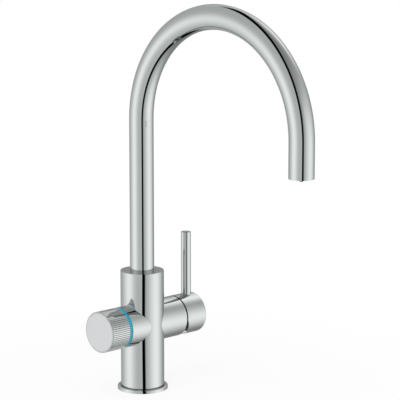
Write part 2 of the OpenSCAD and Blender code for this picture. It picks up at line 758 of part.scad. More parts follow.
module cartridge_housing() color(white_plastic) on_mixer_axis(housing_in_s) difference() {
    cylinder(r = cartridge_r, h = cartridge_l);
    translate([0, 0, -over]) cylinder(r = housing_r, h = cartridge_l - housing_lip_t + over);
    translate([0, 0, -over]) cylinder(r = housing_lip_r, h = cartridge_l + 2 * over);
    // recess in which the stop on the rotor swings
    translate([0, 0, -over]) rotate_extrude(angle = 2 * turn_recess_angle, start = 180 - turn_recess_angle)
        translate([housing_r - over, 0])
            square([over + turn_stop_depth, cartridge_l - housing_lip_t + over]);
}

module fixed_disc() color(ceramic) on_mixer_axis(fixed_disc_s) difference() {
    cylinder(r = housing_r - disc_side_gap, h = mixer_disc_t);
    at_inlets() translate([0, 0, -over]) cylinder(d = port_d, h = mixer_disc_t + 2 * over);
    at_outlets() translate([0, 0, -over]) cylinder(d = port_d, h = mixer_disc_t + 2 * over);
}

// The outline shared by the moving disc and its carrier: round with two flats
module sliding_outline(h) {
    intersection() {
        translate([disc_offset, 0, 0]) cylinder(r = disc_r, h = h);
        translate([-cartridge_d, -disc_half_w, 0]) cube([2 * cartridge_d, 2 * disc_half_w, h]);
    }
}

module moving_disc() color(ceramic) on_mixer_axis(moving_disc_s) difference() {
    sliding_outline(mixer_disc_t);
    translate([inlet_slot_x, -inlet_slot_l / 2, -over])
        cube([inlet_slot_w, inlet_slot_l, mixer_disc_t + 2 * over]);
    translate([outlet_slot_x, disc_rim - disc_half_w, -over])
        cube([outlet_slot_w, 2 * (disc_half_w - disc_rim), mixer_disc_t + 2 * over]);
}

module disc_carrier() color(grey_plastic) on_mixer_axis(carrier_s) difference() {
    sliding_outline(carrier_end_s - carrier_s);
    translate([outlet_slot_x, -carrier_pocket_w / 2, -over])
        cube([carrier_pocket_l, carrier_pocket_w, over + carrier_pocket_depth]);
    translate([0, 0, carrier_hole_s - carrier_s])
        cylinder(r = tail_ball_d / 2 + ball_room, h = carrier_end_s);
}

module cartridge_rotor() color(grey_plastic) difference() {
    union() {
        on_mixer_axis(rotor_in_s) cylinder(r = rotor_r, h = rotor_out_s - rotor_in_s);
        // stop that limits the turn to hot and to cold
        on_mixer_axis(rotor_out_s - turn_stop_h)
            rotate_extrude(angle = 2 * turn_stop_angle, start = 180 - turn_stop_angle)
                translate([rotor_r - over, 0]) square([over + turn_stop_depth, turn_stop_h]);
        for (side = [-1, 1]) on_mixer_axis(carrier_s) intersection() {
            cylinder(r = rotor_r, h = rotor_in_s - carrier_s + over);
            translate([-cartridge_d, side > 0 ? disc_half_w + free_gap : -cartridge_d, 0])
                cube([2 * cartridge_d, cartridge_d - disc_half_w - free_gap, cartridge_d]);
        }
    }
    on_mixer_axis(rotor_in_s - over) translate([-rotor_slot_w / 2, -spindle_w / 2 - spindle_side_gap, 0])
        cube([rotor_slot_w, spindle_w + 2 * spindle_side_gap, cartridge_l]);
    on_mixer_axis(pivot_s) rotate([90, 0, 0])
        cylinder(d = pivot_d + 2 * pin_gap, h = 2 * (rotor_r - pin_inset), center = true);
}

module pivot_pin() color(steel) on_mixer_axis(pivot_s) rotate([90, 0, 0])
    cylinder(d = pivot_d, h = 2 * (rotor_r - pin_inset - free_gap), center = true);

module lever_spindle() color(steel) difference() {
    union() {
        on_mixer_axis(ball_s) sphere(d = tail_ball_d, $fn = 48);
        on_mixer_axis(ball_s) cylinder(d = tail_ball_d - 2 * tail_neck_step, h = tail_l);
        on_mixer_axis(pivot_s - pivot_block_in) translate([-pivot_block_w / 2, -spindle_w / 2, 0])
            cube([pivot_block_w, spindle_w, pivot_block_l]);
        on_mixer_axis(pivot_s) translate([-spindle_w / 2, -spindle_w / 2, 0])
            cube([spindle_w, spindle_w, socket_end_s - socket_end_gap - pivot_s]);
    }
    on_mixer_axis(pivot_s) rotate([90, 0, 0])
        cylinder(d = pivot_d + 2 * running_gap, h = 2 * spindle_w, center = true);
}

module cartridge_nut() color(brass) on_mixer_axis(nut_in_s) difference() {
    cylinder(r = nut_bore_r - fit_gap, h = cartridge_nut_t);
    translate([0, 0, -over]) cylinder(r = housing_lip_r + nut_neck_gap, h = cartridge_nut_t + 2 * over);
}

module dome_cover() color(black_plastic) difference() {
    union() {
        intersection() {
            on_mixer_axis(pivot_s) sphere(r = dome_r, $fn = 96);
            on_mixer_axis(nut_out_s) cylinder(r = dome_r, h = dome_r);
        }
        on_mixer_axis(nut_out_s) cylinder(r = nut_bore_r - 2 * fit_gap, h = dome_flange_t);
    }
    on_mixer_axis(pivot_s) sphere(r = dome_r - dome_wall, $fn = 96);
    on_mixer_axis(nut_out_s - over) cylinder(r = dome_hole_r, h = dome_r + 2 * over);
}

// Lever

module lever_cap() color(chrome) difference() {
    on_mixer_axis(cap_in_s) rounded_disc(branch_d / 2, cap_l, cap_edge_r);
    on_mixer_axis(cap_in_s - over) cylinder(r = cap_hollow_r, h = cap_hollow_l + over);
    // the edge slopes back from the middle downwards, so that the lever can tilt
    on_mixer_axis(cap_in_s) translate([0, branch_d, 0]) rotate([90, 0, 0]) linear_extrude(2 * branch_d)
        polygon([[0, -over], [0, 0], [branch_d, branch_d * tan(relief_angle)], [branch_d, -over]]);
    on_mixer_axis(cap_hollow_end_s - over)
        linear_extrude(socket_end_s - cap_hollow_end_s + over)
            square(spindle_w + 2 * socket_side_gap, center = true);
    on_mixer_axis(rod_s) rotate([0, -90, 0]) {
        translate([0, 0, rod_seat_x]) cylinder(d = rod_d + 2 * fit_gap, h = branch_d);
        translate([0, 0, rod_stud_x]) cylinder(d = rod_stud_d, h = rod_seat_x);
    }
    on_mixer_axis(grub_s) rotate([0, 90, 0]) {
        cylinder(d = grub_d, h = branch_d);
        translate([0, 0, branch_d / 2 - plug_sink - plug_t - fit_gap]) cylinder(d = plug_d, h = branch_d);
    }
}

module lever_rod() color(chrome) on_mixer_axis(rod_s) rotate([0, -90, 0]) {
    translate([0, 0, rod_seat_x + fit_gap])
        rounded_disc(rod_d / 2, rod_h - rod_seat_x - fit_gap, rod_edge_r);
    translate([0, 0, rod_stud_x + free_gap])
        cylinder(d = rod_stud_d - 2 * fit_gap, h = rod_seat_x - rod_stud_x - free_gap + over);
}

module lever_grub_screw() color(steel) on_mixer_axis(grub_s) rotate([0, 90, 0]) difference() {
    translate([0, 0, spindle_w / 2 + fit_gap]) cylinder(d = grub_d - 2 * fit_gap, h = grub_l);
    translate([0, 0, spindle_w / 2 + fit_gap + grub_l - grub_hex_depth])
        cylinder(d = grub_hex_w, h = grub_hex_depth + over, $fn = 6);
}

module grub_screw_plug() color(grey_plastic) on_mixer_axis(grub_s) rotate([0, 90, 0])
    translate([0, 0, branch_d / 2 - plug_sink - plug_t]) cylinder(d = plug_d - 2 * fit_gap, h = plug_t);

// Boiling water valve

module valve_seat_seal() color(rubber) on_knob_axis(valve_seat_s + seal_gap)
    ring(valve_disc_d / 2 - seat_seal_inset, valve_disc_d / 2 - seat_seal_inset - seat_seal_w, seat_seal_t);

// A disc of the boiling water valve
module quarter_disc() {
    difference() {
        cylinder(d = valve_disc_d, h = valve_disc_t);
        translate([0, 0, -over])
            opposite_quarters(valve_disc_d / 2 - valve_port_rim, valve_port_hub_r, valve_disc_t + 2 * over);
    }
}

module valve_fixed_disc() color(ceramic) on_knob_axis(valve_fixed_disc_s) quarter_disc();

// Closed at rest: the knob's turn brings its openings over those of the fixed disc
module valve_moving_disc() color(ceramic) on_knob_axis(valve_moving_disc_s)
    rotate(-knob_turn) quarter_disc();

module valve_body() color(brass) on_knob_axis(valve_in_s) difference() {
    union() {
        cylinder(d = valve_d, h = valve_l);
        translate([0, 0, valve_l]) cylinder(r = collar_r, h = collar_t);
        cylinder(r = neck_r, h = neck_out_s - valve_in_s);
    }
    translate([0, 0, -over])
        cylinder(r = valve_bore_r, h = driver_s + driver_t + driver_end_gap - valve_in_s + over);
    translate([0, 0, -over]) cylinder(r = valve_spindle_d / 2 + running_gap, h = knob_branch_l + 2 * over);
    translate([-window_w / 2, -valve_d, driver_s - valve_in_s]) cube([window_w, 2 * valve_d, driver_t]);
    outer_groove(valve_d / 2, valve_d / 2 - valve_ring_t, valve_ring_s - valve_in_s, valve_groove_h);
}

module valve_o_ring() color(rubber) on_knob_axis(valve_ring_s)
    o_ring(valve_d / 2 - valve_ring_t / 2 + seal_gap / 2, valve_ring_t - 2 * seal_gap);

module valve_spindle() color(brass) difference() {
    union() {
        on_knob_axis(driver_s) intersection() {
            cylinder(r = valve_bore_r - driver_side_gap, h = driver_t);
            translate([-valve_d, -driver_w / 2, 0]) cube([2 * valve_d, driver_w, driver_t]);
        }
        on_knob_axis(driver_s) cylinder(d = valve_spindle_d, h = spindle_end_s - driver_s);
    }
    on_knob_axis(spindle_ring_s)
        outer_groove(valve_spindle_d / 2, valve_spindle_d / 2 - spindle_ring_t, 0, spindle_groove_h);
    on_knob_axis(hub_in_s - flat_lead) translate([valve_spindle_d / 2 - spindle_flat, -valve_d, 0])
        cube([valve_d, 2 * valve_d, knob_l]);
    on_knob_axis(hub_in_s + screw_bore_lead) cylinder(d = knob_screw_d, h = knob_l);
}

module spindle_o_ring() color(rubber) on_knob_axis(spindle_ring_s)
    o_ring(valve_spindle_d / 2 - spindle_ring_t / 2 + seal_gap / 2, spindle_ring_t - 2 * seal_gap);

module valve_nut() color(brass) on_knob_axis(valve_out_s + collar_t + fit_gap) difference() {
    cylinder(d = valve_nut_d, h = valve_nut_t);
    translate([0, 0, -over]) cylinder(r = neck_r + nut_neck_gap, h = valve_nut_t + 2 * over);
    for (turn = [0, 180]) rotate(turn) translate([nut_hole_r, 0, valve_nut_t - nut_hole_depth])
        cylinder(d = nut_hole_d, h = nut_hole_depth + over);
}

// Knob

module indicator_ring() color(teal) on_knob_axis() difference() {
    union() {
        translate([0, 0, ring_in_s]) cylinder(r = ring_r, h = ring_w);
        translate([0, 0, ring_in_s - ring_spigot_l]) cylinder(r = ring_spigot_r, h = ring_spigot_l + over);
        translate([0, 0, ring_out_s - over]) cylinder(r = ring_lip_r, h = ring_lip_l + over);
    }
    translate([0, 0, ring_in_s - ring_spigot_l - over]) cylinder(r = ring_bore_r, h = ring_w + knob_l);
}

module knob_core() color(black_plastic) on_knob_axis() difference() {
    union() {
        translate([0, 0, core_in_s]) cylinder(r = button_bore_r - 2 * fit_gap, h = core_plate_t);
        translate([0, 0, hub_in_s]) cylinder(r = hub_r, h = core_in_s - hub_in_s + over);
    }
    // bore on the spindle, with its flat
    translate([0, 0, hub_in_s - over]) difference() {
        cylinder(d = valve_spindle_d + 2 * fit_gap, h = spindle_end_s + spindle_end_gap - hub_in_s + over);
        translate([valve_spindle_d / 2 - spindle_flat + fit_gap, -hub_r, 0])
            cube([hub_r, 2 * hub_r, knob_l]);
    }
    cylinder(d = knob_screw_d + free_gap, h = knob_out_s);
    // pocket of the spring and holes of the button's legs
    translate([0, 0, spring_seat_s])
        ring(spring_r + spring_pocket_out, spring_r - spring_pocket_in, knob_l);
    for (turn = [0 : 120 : 240]) rotate(turn) translate([core_post_r, 0, 0])
        cylinder(d = button_leg_d + 2 * running_gap, h = knob_out_s);
}

module knob_sleeve() color(chrome) on_knob_axis(knob_in_s) difference() {
    intersection() {
        linear_extrude(knob_l) difference() {
            circle(d = knob_d);
            for (i = [0 : rib_count - 1]) rotate(i * 360 / rib_count)
                polygon([
                    [knob_d / 2 - rib_depth, 0],
                    [knob_d / 2 + rib_over, rib_groove_w / 2],
                    [knob_d / 2 + rib_over, -rib_groove_w / 2]
                ]);
        }
        union() {
            cylinder(r = knob_d, h = knob_l - knob_chamfer);
            translate([0, 0, knob_l - knob_chamfer])
                cylinder(r1 = knob_d / 2, r2 = knob_d / 2 - knob_chamfer, h = knob_chamfer);
        }
    }
    translate([0, 0, -over]) cylinder(r = sleeve_bore_r, h = knob_l + 2 * over);
    translate([0, 0, sleeve_shoulder_s - knob_in_s]) cylinder(r = button_bore_r, h = knob_l);
}

module knob_screw() color(steel) on_knob_axis() difference() {
    union() {
        translate([0, 0, core_out_s]) cylinder(r = screw_head_r, h = screw_head_h);
        translate([0, 0, hub_in_s + screw_lead])
            cylinder(d = knob_screw_d - 2 * fit_gap, h = core_out_s + over - hub_in_s - screw_lead);
    }
    translate([0, 0, core_out_s + screw_head_h - screw_hex_depth])
        cylinder(d = screw_hex_w, h = screw_hex_depth + over, $fn = 6);
}

// A coil spring as one tube of eight sides swept along a helix
module button_spring() color(steel) {
    wire_r = spring_wire_d / 2;
    start = spring_seat_s + wire_r + fit_gap;
    rise = button_s - fit_gap - wire_r - start;
    sides = 8;
    steps_a_turn = 20;
    steps = floor(spring_turns * steps_a_turn);
    points = [for (i = [0 : steps], k = [0 : sides - 1])
        let (turn = 360 * spring_turns * i / steps, side = 360 * k / sides)
            let (r = spring_r + wire_r * cos(side), s = start + rise * i / steps + wire_r * sin(side))
                [r * cos(turn), r * sin(turn), s]];
    walls = [for (i = [0 : steps - 1], k = [0 : sides - 1])
        let (a = i * sides + k, b = i * sides + (k + 1) % sides)
            each [[a, b, b + sides], [a, b + sides, a + sides]]];
    ends = [for (k = [1 : sides - 2])
        each [[0, k + 1, k], [steps * sides, steps * sides + k, steps * sides + k + 1]]];
    on_knob_axis() polyhedron(points, concat(walls, ends));
}

module safety_button() color(chrome) on_knob_axis() {
    catch_s = core_in_s - button_catch_gap - button_catch_l;
    translate([0, 0, button_s]) rounded_disc(button_d / 2, button_t, button_edge_r);
    translate([0, 0, button_s - spring_guide_l])
        ring(spring_r + spring_guide_out, spring_r + spring_guide_in, spring_guide_l + over);
    for (turn = [0 : 120 : 240]) rotate(turn) translate([core_post_r, 0, catch_s]) {
        cylinder(d = button_leg_d, h = button_s - catch_s + over);
        cylinder(d = button_catch_d, h = button_catch_l);
    }
}

body_casting();
base_flange();
deck_seal();
flange_o_ring();
inlet_block();
inlet_block_o_ring();
boiling_socket_o_ring();
upper_glide_ring();
swivel_stop_screw();
spout_tube();
spout_foot();
lower_glide_ring();
spout_o_rings();
boiling_tube();
boiling_nozzle();
aerator_housing();
flow_straightener();
aerator_screen();
aerator_seal();
cartridge_seals();
cartridge_base();
cartridge_housing();
fixed_disc();
moving_disc();
disc_carrier();
cartridge_rotor();
pivot_pin();
lever_spindle();
cartridge_nut();
dome_cover();
lever_cap();
lever_rod();
lever_grub_screw();
grub_screw_plug();
indicator_ring();
valve_seat_seal();
valve_fixed_disc();
valve_moving_disc();
valve_body();
valve_o_ring();
valve_spindle();
spindle_o_ring();
valve_nut();
knob_core();
knob_sleeve();
knob_screw();
button_spring();
safety_button();
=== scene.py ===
import json
import math

import bpy
import numpy as np
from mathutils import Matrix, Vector


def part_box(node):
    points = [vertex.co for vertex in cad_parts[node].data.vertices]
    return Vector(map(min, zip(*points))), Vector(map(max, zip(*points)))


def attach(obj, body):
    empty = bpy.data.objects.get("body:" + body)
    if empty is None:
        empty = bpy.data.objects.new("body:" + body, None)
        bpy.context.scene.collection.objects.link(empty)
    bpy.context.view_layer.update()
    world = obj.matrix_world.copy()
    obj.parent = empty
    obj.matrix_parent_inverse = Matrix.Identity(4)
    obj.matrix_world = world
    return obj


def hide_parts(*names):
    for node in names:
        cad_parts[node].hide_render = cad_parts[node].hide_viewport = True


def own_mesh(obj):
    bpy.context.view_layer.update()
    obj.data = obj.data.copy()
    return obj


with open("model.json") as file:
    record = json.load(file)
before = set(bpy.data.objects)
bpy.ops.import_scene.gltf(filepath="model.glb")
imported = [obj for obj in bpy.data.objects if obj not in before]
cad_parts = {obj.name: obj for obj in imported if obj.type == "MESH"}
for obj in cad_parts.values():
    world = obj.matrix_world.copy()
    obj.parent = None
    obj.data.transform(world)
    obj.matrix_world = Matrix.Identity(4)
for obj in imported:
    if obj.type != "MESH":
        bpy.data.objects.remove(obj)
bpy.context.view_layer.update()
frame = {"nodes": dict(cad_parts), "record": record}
nodes = frame["nodes"]
print("tap: frame loaded,", len(nodes), "CAD nodes")


# Node helpers

def addNode(tree, kind, inputs=None, **options):
    node = tree.nodes.new(kind)
    for key, value in options.items():
        setattr(node, key, value)
    for key, value in (inputs or {}).items():
        node.inputs[key].default_value = value
    return node


def mathNode(tree, operation, first, second=None, third=None, clamp=False):
    # each of the values is a number or a socket
    node = addNode(tree, "ShaderNodeMath", operation=operation, use_clamp=clamp)
    for slot, value in enumerate((first, second, third)):
        if value is None:
            continue
        if isinstance(value, (int, float)):
            node.inputs[slot].default_value = value
        else:
            tree.links.new(value, node.inputs[slot])
    return node.outputs[0]


def newMaterial(name):
    material = bpy.data.materials.new(name)
    material.use_nodes = True
    material.node_tree.nodes.clear()
    return material, material.node_tree


def showSurface(tree, socket):
    output = addNode(tree, "ShaderNodeOutputMaterial")
    tree.links.new(socket, output.inputs["Surface"])


def smoothStep(tree, socket, start, end):
    # 0 at start, 1 at end, without a corner
    node = addNode(
        tree, "ShaderNodeMapRange", {"From Min": start, "From Max": end}, interpolation_type="SMOOTHSTEP")
    tree.links.new(socket, node.inputs["Value"])
    return node.outputs["Result"]


# Finishes

chromeFinish = {
    "colour": (0.537, 0.557, 0.553),
    "grazing": 0.76,                # tint of what it mirrors near the outline
    "roughness": (0.020, 0.045),    # cleanest and haziest patch
    "hazeScale": 38.0,
    "grainScale": 2400.0,
    "grainDepth": 0.00000015,       # metres
}
satinFinish = {
    "colour": (0.560, 0.562, 0.572),
    "grazing": 0.76,
    "roughness": (0.16, 0.22),
    "hazeScale": 60.0,
    "grainScale": 3200.0,
    "grainDepth": 0.0000008,
}
metalPattern = {
    "hazeDetail": 3.0,
    "grainDetail": 2.0,
    "hazeRange": (0.35, 0.65),      # noise at the cleanest and haziest patch
    "toneSpread": 0.015,            # how far the colour goes up and down
}
plasticPattern = {
    "grainScale": 900.0,
    "grainDepth": 0.000004,
    "grainDetail": 4.0,
    "grainRange": (0.3, 0.7),
    "cloudScale": 70.0,
    "cloudDetail": 2.0,
    "toneSpread": 0.06,
    "glossSpread": 0.1,
    "coatRoughness": 0.08,
}


def noisePattern(tree, scale, detail):
    place = addNode(tree, "ShaderNodeTexCoord").outputs["Object"]
    noise = addNode(tree, "ShaderNodeTexNoise", {"Scale": scale, "Detail": detail})
    tree.links.new(place, noise.inputs["Vector"])
    return noise.outputs["Fac"]


def spreadTone(tree, pattern, colour, spread):
    # a little darker than the colour where the pattern is 0, a little lighter where it is 1
    tone = addNode(tree, "ShaderNodeMix", data_type="RGBA")
    tree.links.new(pattern, tone.inputs["Factor"])
    tone.inputs["A"].default_value = (*((1 - spread) * c for c in colour), 1)
    tone.inputs["B"].default_value = (*((1 + spread) * c for c in colour), 1)
    return tone.outputs["Result"]


def patternedSurface(tree, tone, gloss, grain, grainDepth, inputs):
    # a surface with its own tone, gloss and grain; the grain's depth is in metres
    bump = addNode(tree, "ShaderNodeBump", {"Strength": 1.0, "Distance": grainDepth})
    tree.links.new(grain, bump.inputs["Height"])
    surface = addNode(tree, "ShaderNodeBsdfPrincipled", inputs)
    tree.links.new(tone, surface.inputs["Base Color"])
    tree.links.new(gloss, surface.inputs["Roughness"])
    tree.links.new(bump.outputs["Normal"], surface.inputs["Normal"])
    return surface.outputs["BSDF"]


def rangeNode(tree, socket, fromRange, toRange):
    node = addNode(tree, "ShaderNodeMapRange", {
        "From Min": fromRange[0], "From Max": fromRange[1], "To Min": toRange[0], "To Max": toRange[1]})
    tree.links.new(socket, node.inputs["Value"])
    return node.outputs["Result"]


def metalSurface(tree, finish):
    # hazy patches change the gloss and the tone, a very fine grain the surface
    haze = noisePattern(tree, finish["hazeScale"], metalPattern["hazeDetail"])
    grain = noisePattern(tree, finish["grainScale"], metalPattern["grainDetail"])
    tone = spreadTone(tree, haze, finish["colour"], metalPattern["toneSpread"])
    gloss = rangeNode(tree, haze, metalPattern["hazeRange"], finish["roughness"])
    return patternedSurface(tree, tone, gloss, grain, finish["grainDepth"], {
        "Metallic": 1.0, "Specular Tint": (*[finish["grazing"]] * 3, 1)})


def plasticSurface(tree, colour, roughness, grainDepth=plasticPattern["grainDepth"], coat=0.0):
    # moulded plastic, rubber or ceramic: a fine grain and slightly uneven colour
    grain = noisePattern(tree, plasticPattern["grainScale"], plasticPattern["grainDetail"])
    cloud = noisePattern(tree, plasticPattern["cloudScale"], plasticPattern["cloudDetail"])
    tone = spreadTone(tree, cloud, colour, plasticPattern["toneSpread"])
    spread = plasticPattern["glossSpread"]
    gloss = rangeNode(tree, grain, plasticPattern["grainRange"], (
        (1 - spread) * roughness, (1 + spread) * roughness))
    return patternedSurface(tree, tone, gloss, grain, grainDepth, {
        "Coat Weight": coat, "Coat Roughness": plasticPattern["coatRoughness"]})


def metalMaterial(name, finish):
    material, tree = newMaterial(name)
    showSurface(tree, metalSurface(tree, finish))
    return material


def plasticMaterial(name, colour, roughness, **options):
    material, tree = newMaterial(name)
    showSurface(tree, plasticSurface(tree, colour, roughness, **options))
    return material


def maskedMaterial(name, outer, inner, mask):
    # the inner surface where the mask is 1; each of the three is a function of the node tree
    material, tree = newMaterial(name)
    mix = addNode(tree, "ShaderNodeMixShader")
    for socket, part in (("Fac", mask), (1, outer), (2, inner)):
        tree.links.new(part(tree), mix.inputs[socket])
    showSurface(tree, mix.outputs["Shader"])
    return material


polishedChrome = metalMaterial("polished_chrome", chromeFinish)
satinChrome = metalMaterial("satin_chrome", satinFinish)
turnedBrass = metalMaterial("turned_brass", {
    **satinFinish, "colour": (0.72, 0.50, 0.20), "roughness": (0.18, 0.30)})
stainlessSteel = metalMaterial("stainless_steel", {
    **satinFinish, "colour": (0.56, 0.57, 0.58), "roughness": (0.22, 0.34)})
nozzleSteel = metalMaterial("nozzle_steel", {
    **satinFinish, "colour": (0.11, 0.113, 0.117), "roughness": (0.20, 0.30)})
tealPlastic = plasticMaterial("teal_plastic", (0.002, 0.355, 0.500), 0.30, coat=0.3)
blackPlastic = plasticMaterial("black_plastic", (0.012, 0.012, 0.014), 0.38)
blackRubber = plasticMaterial("black_rubber", (0.018, 0.018, 0.018), 0.62, grainDepth=0.00001)
whitePlastic = plasticMaterial("white_plastic", (0.74, 0.74, 0.70), 0.42)
greyPlastic = plasticMaterial("grey_plastic", (0.20, 0.21, 0.22), 0.45)
lappedCeramic = plasticMaterial("lapped_ceramic", (0.86, 0.84, 0.78), 0.22, grainDepth=0.000001)

slotMaterials = {
    "chrome_body": polishedChrome, "chrome_flange": polishedChrome, "chrome_spout": polishedChrome,
    "chrome_lever": polishedChrome, "chrome_knob": polishedChrome, "chrome_button": satinChrome,
    "teal_ring": tealPlastic, "brass": turnedBrass, "steel": stainlessSteel,
    "nozzle_steel": nozzleSteel, "rubber": blackRubber, "black_plastic": blackPlastic,
    "white_plastic": whitePlastic, "grey_plastic": greyPlastic, "ceramic": lappedCeramic,
}
for part in frame["record"]["subparts"]:
    solid = nodes[part["node"]]
    solid.data.materials.clear()
    solid.data.materials.append(slotMaterials[part["material_slot"]])
print("tap: finishes on the CAD nodes")


# New surfaces

def gridFaces(rows, columns, closedRows=False, closedColumns=False):
    # quads between neighbouring points of a rows x columns grid, as an array of indices
    i = np.arange(rows if closedRows else rows - 1)[:, None]
    j = np.arange(columns if closedColumns else columns - 1)[None, :]
    nextI, nextJ = (i + 1) % rows, (j + 1) % columns
    return np.stack([
        i * columns + j, nextI * columns + j, nextI * columns + nextJ, i * columns + nextJ
    ], axis=-1).reshape(-1, 4)


def facingOut(points, faces):
    # a closed shell whose volume, summed over its faces, is below zero is inside out
    a, b, c, d = (points[faces[:, k]] for k in range(4))
    volume = np.einsum("ij,ij->", a, np.cross(b, c) + np.cross(c, d))
    return faces if volume > 0 else faces[:, ::-1]


def newPiece(name, points, faces, material):
    mesh = bpy.data.meshes.new(name)
    mesh.from_pydata(points.tolist(), [], faces.tolist())
    mesh.polygons.foreach_set("use_smooth", np.ones(len(mesh.polygons), dtype=bool))
    mesh.materials.append(material)
    mesh.update()
    piece = bpy.data.objects.new(name, mesh)
    bpy.context.scene.collection.objects.link(piece)
    return piece


def roundedOutline(corners, radius, steps=4, holdShare=0.4):
    # each corner P of a closed outline becomes the curve (1-t)^2 A + 2t(1-t) P + t^2 B, where A and B
    # lie at the radius before and after P, with a point a little outside A and B to hold the flat
    corners = np.asarray(corners, dtype=float)
    before = np.roll(corners, 1, axis=0) - corners
    after = np.roll(corners, -1, axis=0) - corners
    before /= np.linalg.norm(before, axis=1, keepdims=True)
    after /= np.linalg.norm(after, axis=1, keepdims=True)
    t = np.linspace(0, 1, steps + 1)[None, :, None]
    first, middle, last = (
        place[:, None] for place in (corners + radius * before, corners, corners + radius * after))
    curve = (1 - t) ** 2 * first + 2 * t * (1 - t) * middle + t ** 2 * last
    hold = holdShare * radius
    return np.concatenate([
        first + hold * before[:, None], curve, last + hold * after[:, None]
    ], axis=1).reshape(-1, 2)


# Knob

knobSleeve = {
    "ribs": 64,
    "grooveWidth": 0.00060,
    "grooveDepth": 0.00045,
    "chamfer": 0.00060,
    "buttonBore": 0.01970,     # radius round the safety button
    "coreBore": 0.01870,       # radius round the knob's core
    "shoulder": 0.04895,       # from the body's middle to the step between the two
    "edge": 0.00008,           # rounding of the sleeve's own edges
    "across": (-1.25, -1, -0.8, -0.5, -0.2, 0.2, 0.5, 0.8, 1, 1.25),    # points, in half grooves
    # painted shade in the bottoms of the grooves: its colour and roughness
    "grooveShade": (0.10, 0.10, 0.105),
    "grooveShadeRoughness": 0.5,
    "grooveShadeFrom": (0.25, 0.85),  # shares of the depth where the painted shade begins and is full
}


def grooveShadeMask(tree):
    # painted shade, from none to full as the groove deepens
    depth = addNode(tree, "ShaderNodeAttribute", attribute_name="groove_depth")
    return smoothStep(tree, depth.outputs["Fac"], *knobSleeve["grooveShadeFrom"])


def makeKnobSleeve():
    # radius at an angle = the smaller of the outline's radius and land - depth * (1 - (u / half width)^2),
    # where u is the distance from the nearest groove's middle
    look = knobSleeve
    low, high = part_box("knob_sleeve")
    land, middleZ = (high[2] - low[2]) / 2, (high[2] + low[2]) / 2
    inner, outer = -high[0], -low[0]
    outline = roundedOutline([
        (inner, look["coreBore"]), (inner, land), (outer - look["chamfer"], land),
        (outer, land - look["chamfer"]), (outer, look["buttonBore"]),
        (look["shoulder"], look["buttonBore"]), (look["shoulder"], look["coreBore"]),
    ], look["edge"])
    pitch, half = 2 * np.pi / look["ribs"], look["grooveWidth"] / 2
    across = np.array(look["across"]) * half
    across = np.append(across, pitch * land / 2)      # the last one is the middle of the land
    angle = (np.arange(look["ribs"])[:, None] * pitch + across[None, :] / land).ravel()
    share = np.tile(np.clip(1 - (across / half) ** 2, 0, None), look["ribs"])
    along, radius = outline[:, :1], outline[:, 1:]
    cut = np.minimum(radius, land - look["grooveDepth"] * share)
    points = np.stack(np.broadcast_arrays(
        -along, cut * np.cos(angle), middleZ + cut * np.sin(angle)), axis=-1)
    rows, columns = points.shape[:2]
    points = points.reshape(-1, 3)
    faces = facingOut(points, gridFaces(rows, columns, closedRows=True, closedColumns=True))
    # chrome, with painted shade in the bottoms of the grooves
    material = maskedMaterial(
        "knurled_chrome_groove_shade", lambda tree: metalSurface(tree, chromeFinish),
        lambda tree: plasticSurface(tree, look["grooveShade"], look["grooveShadeRoughness"]), grooveShadeMask)
    sleeve = newPiece("knurled_sleeve", points, faces, material)
    depth = sleeve.data.attributes.new("groove_depth", "FLOAT", "POINT")
    depth.data.foreach_set("value", ((radius - cut) / look["grooveDepth"]).ravel())
    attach(sleeve, "knob")
    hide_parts("knob_sleeve")


# Button spring

buttonSpring = {
    "wire": 0.0011,            # thickness
    "turns": 5,
    "stepsPerTurn": 48,
    "sides": 16,
    "travel": 0.0025,          # of the button
}


def makeButtonSpring():
    # a ring of points carried along a helix: at side angle b the distance from the axis is
    # coil radius + wire radius * cos b, and the place along it is an even rise + wire radius * sin b
    look = buttonSpring
    low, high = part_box("button_spring")
    wire = look["wire"] / 2
    coil, middleZ = (high[1] - low[1]) / 2 - wire, (high[2] + low[2]) / 2
    steps = look["turns"] * look["stepsPerTurn"]
    share = np.linspace(0, 1, steps + 1)[:, None]
    side = np.linspace(0, 2 * np.pi, look["sides"], endpoint=False)[None, :]
    share = np.concatenate([share[:1], share, share[-1:]])      # the doubled ends close the tube
    wireRadius = np.pad(np.full((steps + 1, 1), wire), ((1, 1), (0, 0)))
    turn = 2 * np.pi * look["turns"] * share
    out = coil + wireRadius * np.cos(side)
    along = -high[0] + wire + (high[0] - low[0] - 2 * wire) * share + wireRadius * np.sin(side)
    points = np.stack(np.broadcast_arrays(
        -along, out * np.cos(turn), middleZ + out * np.sin(turn)), axis=-1).reshape(-1, 3)
    faces = facingOut(points, gridFaces(steps + 3, look["sides"], closedColumns=True))
    spring = newPiece("coil_spring", points, faces, stainlessSteel)
    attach(spring, "knob")
    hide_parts("button_spring")
    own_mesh(spring)


# Mixer cap

# painted shade: near black on the cap's inner wall and edge, where the gap to the mixer branch lies in
# shade
capPaintedShade = {
    "rim": 0.00015,        # how far under the cap's outside the painted shade begins
    "lip": 0.00065,        # width of the painted shadow line along the cap's edge, on its outside too
    "stop": 0.0152,        # how far below the axis the painted shade goes
    "depth": 0.0125,       # from the cap's edge to the painted shade's end
    "colour": (0.010, 0.010, 0.011),
    "roughness": 0.45,
}


